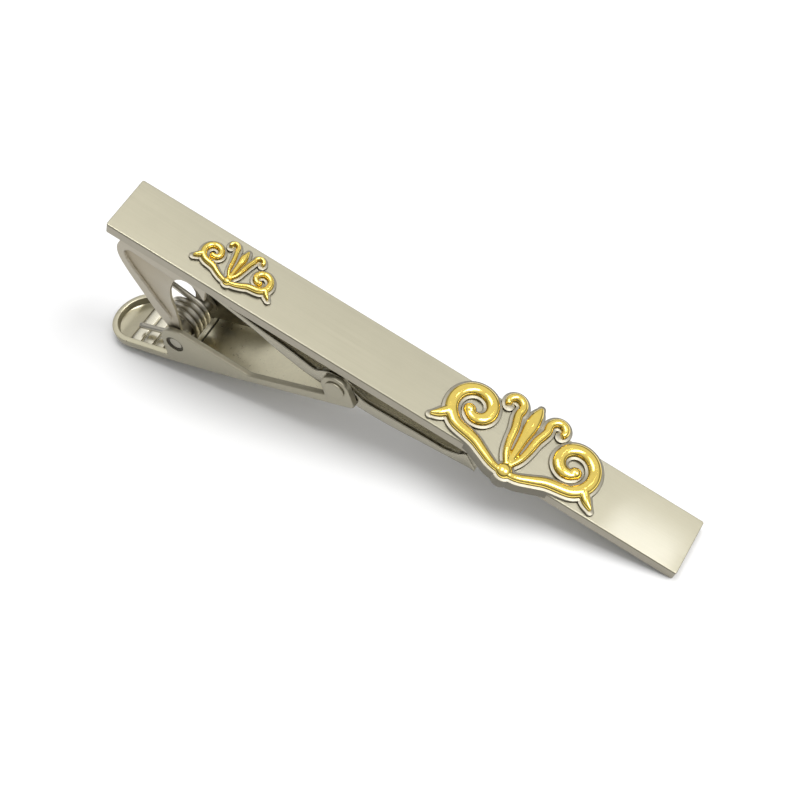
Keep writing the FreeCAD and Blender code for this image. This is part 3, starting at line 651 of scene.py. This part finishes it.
bm = bmesh.new()
tube(bm, wire_path(), 0.3)
spring = make("spring_wire", bm, steel)
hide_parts("torsion_spring")
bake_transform(spring)


# ------------------------------------------------------------------ jaw
JAW_TOP = spline([(11.2, -1.7), (13.05, -1.96), (16.3, -2.52), (20.0, -3.1), (22.3, -3.65), (22.9, -3.6), (23.6, -3.0), (24.3, -2.67), (25.3, -2.54),
                  (26.3, -3.15), (27.6, -3.76), (28.5, -4.05), (30.8, -3.95), (34.2, -3.8), (36.5, -3.75)], 6) + [
    (37.3, -3.5), (38.05, -3.06), (38.4, -2.62), (38.56, -2.42), (38.66, -2.38), (38.78, -2.42), (39.56, -3.42), (40.05, -3.97)]
JAW_LOW = spline([(10.9, -2.0), (13.1, -2.67), (16.5, -3.66), (18.4, -4.36), (20.3, -4.92), (22.2, -5.36), (25.0, -5.62), (28.0, -5.7), (31.0, -5.6), (34.5, -5.12),
                  (37.0, -4.8), (39.9, -4.43)], 6)


def arc(cx, cz, r, a0, a1, n):
    return [(cx + r * math.cos(math.radians(a0 + (a1 - a0) * k / n)), cz + r * math.sin(math.radians(a0 + (a1 - a0) * k / n))) for k in range(n + 1)]


def loop(bm, x, half):
    """Closed section at x from its right half, mirrored about the middle."""
    return [bm.verts.new(put(x, y, z)) for y, z in half] + [bm.verts.new(put(x, -y, z)) for y, z in half[::-1] if y > 0.0]


def jaw_mesh():
    bm = bmesh.new()
    wide, wall = 2.6, 0.5
    marks = spaced(11.2, 22.2, 0.4) + spaced(22.2, 28.8, 0.14) + spaced(28.8, 36.4, 0.45) + spaced(36.4, 40.05, 0.11) + [40.05]
    rows = []
    for x in marks:
        top, low = interp(JAW_TOP, x), interp(JAW_LOW, x)
        h = top - low
        ro, rt = min(0.42, 0.42 * h), min(0.12, 0.22 * h)
        deck = min(low + 0.45, top - rt - 0.03)
        ri = min(0.22, 0.45 * (top - rt - deck))
        half = [(0.0, low)] + arc(wide - ro, low + ro, ro, -90, 0, 6) + arc(wide - rt, top - rt, rt, 0, 90, 4)
        half += arc(wide - wall + rt, top - rt, rt, 90, 180, 4) + arc(wide - wall - ri, deck + ri, ri, 0, -90, 4) + [(0.0, deck)]
        rows.append(loop(bm, x, half))
    skin(bm, rows)
    bm.faces.new(rows[0][::-1])
    bm.faces.new(rows[-1])
    # heel under the bar
    upper = [(9.0, -1.45), (9.06, -1.35), (9.15, -1.3), (9.6, -1.28), (10.2, -1.36), (11.3, -1.66), (12.4, -1.97)]
    lower = [(9.0, -1.47), (9.12, -1.55), (9.35, -1.62), (9.9, -1.66), (10.9, -1.95), (12.4, -2.4)]
    rows = []
    for x in [9.0, 9.03, 9.06, 9.1, 9.15, 9.25, 9.35] + spaced(9.5, 12.4, 0.2) + [12.4]:
        top, low = interp(upper, x), interp(lower, x)
        r = min(0.08, 0.3 * (top - low))
        half = [(0.0, low)] + arc(2.1 - r, low + r, r, -90, 0, 3) + arc(2.1 - r, top - r, r, 0, 90, 3) + [(0.0, top)]
        rows.append(loop(bm, x, half))
    skin(bm, rows)
    bm.faces.new(rows[0][::-1])
    bm.faces.new(rows[-1])
    bmesh.ops.recalc_face_normals(bm, faces=bm.faces)
    return bm


jaw = make("jaw_shell", jaw_mesh(), nickel_jaw)
shade(jaw, 40)
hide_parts("jaw")
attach(jaw, "jaw")


# ------------------------------------------------------------------ gold ornaments
def spiral(cx, cy, r0, r1, start, sweep, count):
    out = []
    for i in range(count):
        k = i / (count - 1.0)
        a = math.radians(start + sweep * k)
        r = r0 + (r1 - r0) * k
        out.append((cx + r * math.cos(a), cy + r * math.sin(a)))
    return out


def widths(count, full, head, tail):
    out = []
    for i in range(count):
        k = i / (count - 1.0)
        w = full
        if k < 0.25:
            w = head + (full - head) * math.sin(k / 0.25 * math.pi / 2)
        if k > 0.7:
            w = tail + (full - tail) * math.cos((k - 0.7) / 0.3 * math.pi / 2)
        out.append(w)
    return out


def ridge(bm, centre, wide, at, base, height, flip):
    """One relief stroke: a smooth crowned ridge along a centre line."""
    pts = spline([(x, y, w) for (x, y), w in zip(centre, wide)], 6)
    if flip:
        pts = [(-x, y, w) for x, y, w in pts]
    n = len(pts)
    across = 9
    rows = []
    for i in range(n):
        a, b = pts[max(i - 1, 0)], pts[min(i + 1, n - 1)]
        t = Vector((b[0] - a[0], b[1] - a[1])).normalized()
        side = Vector((-t.y, t.x))
        x, y, w = pts[i]
        w = max(w, 0.06)
        tall = height * min(1.0, 0.45 + 0.55 * w / max(wide))
        row = []
        for k in range(across):
            f = math.pi * k / (across - 1)
            off = math.cos(f) * w / 2
            up = base + tall * math.sin(f) ** 0.75
            p = (x + side.x * off, y + side.y * off)
            row.append(bm.verts.new(put(p[0] + at, p[1], up)))
        for k in range(across - 1, -1, -1):
            f = math.pi * k / (across - 1)
            off = math.cos(f) * w / 2
            row.append(bm.verts.new(put(x + side.x * off + at, y + side.y * off, base - 0.12)))
        rows.append(row)
    m = len(rows[0])
    for a, b in zip(rows[:-1], rows[1:]):
        for k in range(m):
            bm.faces.new((a[k], a[(k + 1) % m], b[(k + 1) % m], b[k]))
    bm.faces.new(rows[0])
    bm.faces.new(rows[-1][::-1])


def bead(bm, x, y, r, base, height, rings=8, sides=28):
    top = bm.verts.new(put(x, y, base + height))
    last = None
    for i in range(1, rings + 1):
        f = math.pi / 2 * i / rings
        ring = [bm.verts.new(put(x + r * math.sin(f) * math.cos(2 * math.pi * k / sides), y + r * math.sin(f) * math.sin(2 * math.pi * k / sides),
                                 base + height * math.cos(f))) for k in range(sides)]
        for k in range(sides):
            if last is None:
                bm.faces.new((top, ring[k], ring[(k + 1) % sides]))
            else:
                bm.faces.new((last[k], ring[k], ring[(k + 1) % sides], last[(k + 1) % sides]))
        last = ring
    low = [bm.verts.new(put(x + r * math.cos(2 * math.pi * k / sides), y + r * math.sin(2 * math.pi * k / sides), base - 0.12)) for k in range(sides)]
    for k in range(sides):
        bm.faces.new((last[k], low[k], low[(k + 1) % sides], last[(k + 1) % sides]))
    bm.faces.new(low[::-1])


L_RUN = [(0.3, -3.65), (1.3, -3.45), (2.6, -2.85), (3.8, -2.3)]
L_VOL = spiral(5.0, 0.55, 2.62, 0.7, -92, 410, 24)
L_TEN = [(0.2, -2.75), (0.72, -1.7), (0.98, -0.5), (1.15, 0.8), (1.5, 2.1)] + spiral(2.35, 2.9, 0.95, 0.5, 195, -230, 10)
L_LEAF = [(6.95, -1.0), (7.6, -1.8), (8.3, -2.35)]
L_MID = [(0, -3.2), (0, -1.6), (0, 0.2), (0, 1.9), (0, 3.2), (0, 4.0)]
S_RUN = [(0.2, -1.85), (0.75, -1.7), (1.35, -1.42), (1.85, -1.15)]
S_VOL = spiral(2.5, 0.1, 1.15, 0.36, -100, 370, 20)
S_TEN = [(0.12, -1.35), (0.45, -0.75), (0.6, 0.0), (0.74, 0.7)] + spiral(1.42, 1.62, 0.5, 0.28, 195, -215, 9)
S_LEAF = [(3.3, -0.45), (3.65, -0.92), (4.0, -1.22)]
S_MID = [(0, -1.6), (0, -0.7), (0, 0.3), (0, 1.2), (0, 2.0)]


def ornament(name, node_name, at, strokes, knobs, base, height, voxel):
    bm = bmesh.new()
    for centre, wide, paired in strokes:
        for flip in ((False, True) if paired else (False,)):
            ridge(bm, centre, wide, at, base, height, flip)
    for x, y, r, h, paired in knobs:
        for sx in ((1, -1) if paired else (1,)):
            bead(bm, at + sx * x, y, r, base, h)
    bmesh.ops.recalc_face_normals(bm, faces=bm.faces)
    obj = make(name, bm, gold)
    cast = obj.modifiers.new("cast", "REMESH")
    cast.mode = "VOXEL"
    cast.voxel_size = voxel * MM
    cast.use_smooth_shade = True
    calm = obj.modifiers.new("calm", "SMOOTH")
    calm.factor = 0.5
    calm.iterations = 4
    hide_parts(node_name)
    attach(obj, "frame")
    return obj


run = L_RUN + L_VOL[1:]
large = [(run, widths(len(run), 1.25, 0.6, 0.9), True), (L_TEN, widths(len(L_TEN), 0.85, 0.5, 0.62), True), (L_LEAF, [1.0, 0.85, 0.3], True),
         (L_MID, [0.45, 0.7, 0.95, 1.35, 1.05, 0.3], False)]
ornament("large_scroll", "large_ornament", 42.4, large,
         [(0.0, -3.45, 0.78, 0.54, False), (5.0 + 0.7 * math.cos(math.radians(318)), 0.55 + 0.7 * math.sin(math.radians(318)), 0.6, 0.54, True)],
         0.35, 0.5, 0.06)
run = S_RUN + S_VOL[1:]
small = [(run, widths(len(run), 0.64, 0.34, 0.48), True), (S_TEN, widths(len(S_TEN), 0.44, 0.28, 0.34), True), (S_LEAF, [0.56, 0.48, 0.18], True),
         (S_MID, [0.28, 0.4, 0.55, 0.72, 0.2], False)]
ornament("small_scroll", "small_ornament", 12.2, small,
         [(0.0, -1.78, 0.42, 0.44, False), (2.5 + 0.36 * math.cos(math.radians(270)), 0.1 + 0.36 * math.sin(math.radians(270)), 0.32, 0.44, True)],
         0.35, 0.42, 0.04)


# ------------------------------------------------------------------ front bar with its beds
def rounded(length, half, r, inset, n=8):
    """Plan outline of the bar, drawn in from its edge."""
    out = []
    for cx, cy, a0 in ((length - r, half - r, 0), (r, half - r, 90), (r, -half + r, 180), (length - r, -half + r, 270)):
        for k in range(n + 1):
            a = math.radians(a0 + 90.0 * k / n)
            out.append((cx + (r - inset) * math.cos(a), cy + (r - inset) * math.sin(a)))
    return out


def bar_mesh():
    bm = bmesh.new()
    r = 0.07
    levels = [(0.15, -1.25), (0.0, -1.25), (0.0, -0.22), (0.0, -r)]
    levels += [(r - r * math.cos(math.pi / 2 * k / 5), -r + r * math.sin(math.pi / 2 * k / 5)) for k in range(1, 6)]
    levels += [(r + 0.05, 0.0)]
    rows = [[bm.verts.new(put(x, y, z)) for x, y in rounded(60.0, 3.0, 0.2, inset)] for inset, z in levels]
    skin(bm, rows)
    bm.faces.ensure_lookup_table()
    n = len(rows[0])
    # painted shade: the side band takes the darker side copy of the nickel
    for face in bm.faces[n:2 * n]:
        face.material_index = 2
    # painted reflection: the strip just under the top edge takes the dark edge copy
    for face in bm.faces[2 * n:3 * n]:
        face.material_index = 3
    bm.faces.new(rows[0][::-1])
    bm.faces.new(rows[-1])
    return bm


def bed_profile(w, low, top, e):
    right = [(w / 2, low), (w / 2, top - e), (w / 2 - 0.29 * e, top - 0.29 * e), (w / 2 - e, top)]
    return right + [(-o, z) for o, z in right[::-1]]


def bed_stroke(bm, centre, wide, at, low, top, fall, e, flip):
    """Nickel bed under one stroke, flat on top with soft edges."""
    pts = spline([(x, y, w) for (x, y), w in zip(centre, wide)], 6)
    if flip:
        pts = [(-x, y, w) for x, y, w in pts]
    n = len(pts)
    rows = []
    for i in range(n):
        a, b = pts[max(i - 1, 0)], pts[min(i + 1, n - 1)]
        t = Vector((b[0] - a[0], b[1] - a[1])).normalized()
        x, y, w = pts[i]
        z = top - fall * i / n
        rows.append([bm.verts.new(put(x - t.y * o + at, y + t.x * o, v)) for o, v in bed_profile(w, low, z, e)])
    skin(bm, rows)
    bm.faces.new(rows[0])
    bm.faces.new(rows[-1][::-1])
    for (x, y, w), z in ((pts[0], top + 0.002), (pts[-1], top - fall - 0.002)):
        coin(bm, x + at, y, w / 2, low, z, e)


def coin(bm, x, y, r, low, top, e, sides=28):
    rows = []
    for rr, z in ((r, low), (r, top - e), (r - 0.29 * e, top - 0.29 * e), (r - e, top)):
        rows.append([bm.verts.new(put(x + rr * math.cos(2 * math.pi * k / sides), y + rr * math.sin(2 * math.pi * k / sides), z)) for k in range(sides)])
    skin(bm, rows)
    bm.faces.new(rows[0][::-1])
    bm.faces.new(rows[-1])


def beds(bm, at, strokes, margin, bead_at, low, top, e):
    n = 0
    for centre, wide, paired in strokes:
        for flip in ((False, True) if paired else (False,)):
            bed_stroke(bm, centre, [max(w, 0.3) + 2 * margin for w in wide], at, low, top - 0.008 * n, 0.02, e, flip)
            n += 1
    coin(bm, at, bead_at[0], bead_at[1] + margin, low, top + 0.004, e)


bm = bar_mesh()
plain = len(bm.faces)
beds(bm, 42.4, large, 0.28, (-3.45, 0.78), -0.9, 0.33, 0.1)
beds(bm, 12.2, small, 0.22, (-1.78, 0.42), -0.9, 0.33, 0.08)
bmesh.ops.recalc_face_normals(bm, faces=bm.faces)
bm.faces.ensure_lookup_table()
# painted shade: the beds take the darker bed copy of the nickel
for face in bm.faces[plain:]:
    face.material_index = 1
bar = make("bar_shell", bm, nickel)
bar.data.materials.append(nickel_bed_shaded)
bar.data.materials.append(nickel_side_shaded)
bar.data.materials.append(nickel_edge_shade)
shade(bar, 35)
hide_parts("front_bar")
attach(bar, "frame")

# ------------------------------------------------------------------ stage, light and camera
bm = bmesh.new()
bmesh.ops.create_grid(bm, x_segments=1, y_segments=1, size=1.5)
floor_mat = bpy.data.materials.new("floor")
floor_mat.use_nodes = True
f = floor_mat.node_tree.nodes["Principled BSDF"]
f.inputs["Base Color"].default_value = (0.92, 0.92, 0.92, 1)
f.inputs["Roughness"].default_value = 0.9
f.inputs["Specular IOR Level"].default_value = 0.0
floor = make("floor", bm, floor_mat, False)
floor.location = (0, 0, -0.00002)

world = bpy.data.worlds.new("studio")
bpy.context.scene.world = world
world.use_nodes = True
wt = world.node_tree
back = wt.nodes["Background"]
coord = wt.nodes.new("ShaderNodeTexCoord")
toward = Vector((0.20, 0.48, 0.85)).normalized()
aim = wt.nodes.new("ShaderNodeVectorMath")
aim.operation = "DOT_PRODUCT"
aim.inputs[1].default_value = toward
wt.links.new(coord.outputs["Generated"], aim.inputs[0])
ramp = wt.nodes.new("ShaderNodeMapRange")
ramp.interpolation_type = "SMOOTHSTEP"
ramp.inputs["From Min"].default_value = -0.5
ramp.inputs["From Max"].default_value = 0.85
ramp.inputs["To Min"].default_value = 0.14
ramp.inputs["To Max"].default_value = 0.86
wt.links.new(aim.outputs["Value"], ramp.inputs["Value"])
height = wt.nodes.new("ShaderNodeSeparateXYZ")
wt.links.new(coord.outputs["Generated"], height.inputs[0])
low_sky = wt.nodes.new("ShaderNodeMapRange")
low_sky.interpolation_type = "SMOOTHSTEP"
low_sky.inputs["From Min"].default_value = 0.12
low_sky.inputs["From Max"].default_value = 0.55
low_sky.inputs["To Min"].default_value = 0.18
low_sky.inputs["To Max"].default_value = 1.0
wt.links.new(height.outputs["Z"], low_sky.inputs["Value"])
sky = wt.nodes.new("ShaderNodeMath")
sky.operation = "MULTIPLY"
wt.links.new(ramp.outputs["Result"], sky.inputs[0])
wt.links.new(low_sky.outputs["Result"], sky.inputs[1])
wt.links.new(sky.outputs[0], back.inputs["Strength"])
back.inputs["Color"].default_value = (1.0, 1.0, 1.0, 1.0)


def soft_light(name, where, target, size, power):
    data = bpy.data.lights.new(name, "AREA")
    data.shape = "RECTANGLE"
    data.size, data.size_y = size
    data.energy = power
    obj = bpy.data.objects.new(name, data)
    bpy.context.scene.collection.objects.link(obj)
    obj.location = where
    obj.rotation_euler = (Vector(target) - Vector(where)).to_track_quat("-Z", "Y").to_euler()
    return obj


soft_light("key", (0.36, 0.065, 0.54), (0, 0, 0), (0.26, 0.26), 1.9)
soft_light("top", (-0.02, 0.06, 0.62), (0, 0, 0), (0.26, 0.26), 1.1)

# small lamp whose image falls on the bar's far end
EYE = Vector((44.13, -77.99, 136.36))
seen = Vector((56.0, -2.4, 0.0))
ray = (seen - EYE).normalized()
ray.z = -ray.z
where, spot = put(*(seen + ray * 500.0)), put(*seen)
lamp = soft_light("lamp", where, spot, (0.027, 0.018), 0.011)
up = (where - spot).normalized()
side_axis = TURN @ Vector((1, 0, 0))
side_axis = (side_axis - up * side_axis.dot(up)).normalized()
lamp.rotation_euler = Matrix((side_axis, up.cross(side_axis), up)).transposed().to_euler()

cam_data = bpy.data.cameras.new("photo_camera")
cam_data.sensor_width = 36.0
cam_data.lens = 78.75
cam_data.clip_start = 0.005
cam = bpy.data.objects.new("photo_camera", cam_data)
bpy.context.scene.collection.objects.link(cam)
right, down, ahead = Vector((0.8494, 0.4919, 0.1912)), Vector((0.5212, -0.7251, -0.4501)), Vector((-0.0828, 0.4820, -0.8722))
axes = Matrix((right, -down, -ahead)).transposed()
spin = (TURN @ axes).to_quaternion().to_matrix()
cam.matrix_world = Matrix.Translation(put(*EYE)) @ spin.to_4x4()
bpy.context.scene.camera = cam
bpy.context.scene.view_settings.view_transform = "Standard"
bpy.context.scene.view_settings.look = "None"
